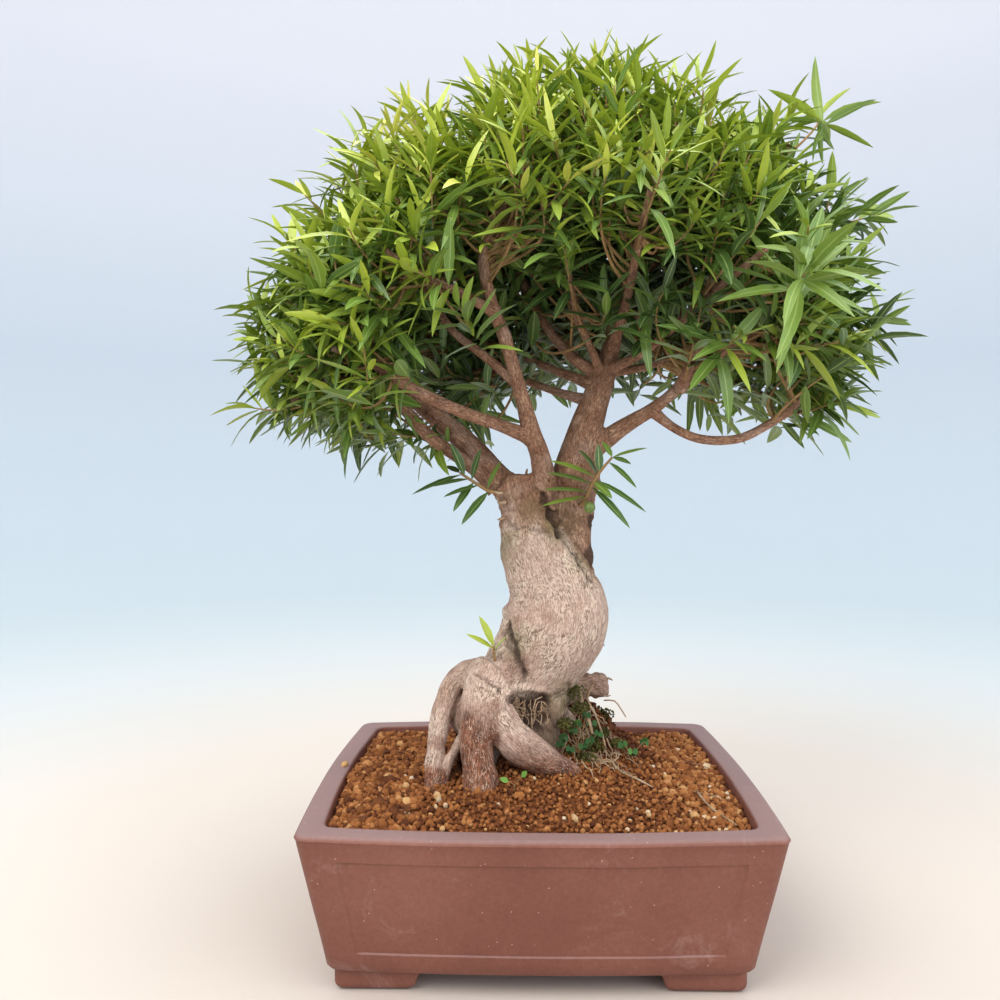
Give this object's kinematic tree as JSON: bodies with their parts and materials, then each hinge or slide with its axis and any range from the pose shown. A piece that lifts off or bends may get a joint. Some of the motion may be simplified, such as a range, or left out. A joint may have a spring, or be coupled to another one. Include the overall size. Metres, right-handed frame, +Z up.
{
  "type": "ficus neriifolia bonsai",
  "caption": "Willow-leaf fig bonsai with a swollen trunk, surface roots and a round crown of narrow leaves, standing in soil in a rectangular unglazed clay pot on corner feet.",
  "frame": {"origin": "on the surface that the pot's feet stand on, under the middle of the whole object's bounding box", "axes": "+Z up, +X towards the crown's longer right side along the pot's long side, +Y towards the back"},
  "size_m": [0.7298, 0.5266, 0.8982],
  "materials": {
    "clay": "matte unglazed, purple-brown with pale specks",
    "drain_mesh": "matte black",
    "bark": "smooth pale bark with fine brown fissures",
    "soil": "loose baked clay grains, orange-brown",
    "leaf": "smooth leathery leaf, satin",
    "weed": "soft leaf, matte",
    "fig": "smooth green skin"
  },
  "bodies": {
    "root": {"pot": "clay", "drain_mesh_left": "drain_mesh", "drain_mesh_right": "drain_mesh", "tree": "bark", "soil": "soil", "clover": "weed", "clover_right": "weed", "seedling": "weed", "foliage_left_low": "leaf", "foliage_left_outer": "leaf", "foliage_left_upper": "leaf", "foliage_upper_left": "leaf", "foliage_crown_top": "leaf", "foliage_top_right": "leaf", "foliage_right_upper": "leaf", "foliage_right_outer": "leaf", "foliage_right_middle": "leaf", "foliage_right_low": "leaf", "foliage_front_left": "leaf", "foliage_front_top": "leaf", "foliage_front_centre": "leaf", "foliage_front_right": "leaf", "foliage_front_low_right": "leaf", "foliage_front_low_left": "leaf", "foliage_inner_top": "leaf", "foliage_back_left": "leaf", "foliage_back_upper_left": "leaf", "foliage_back_centre": "leaf", "foliage_back_right": "leaf", "foliage_back_low_left": "leaf", "foliage_back_low_right": "leaf", "foliage_back_middle": "leaf", "sprig_left": "leaf", "sprig_right": "leaf", "shoot_low": "leaf", "fig": "fig"}
  },
  "joints": []
}
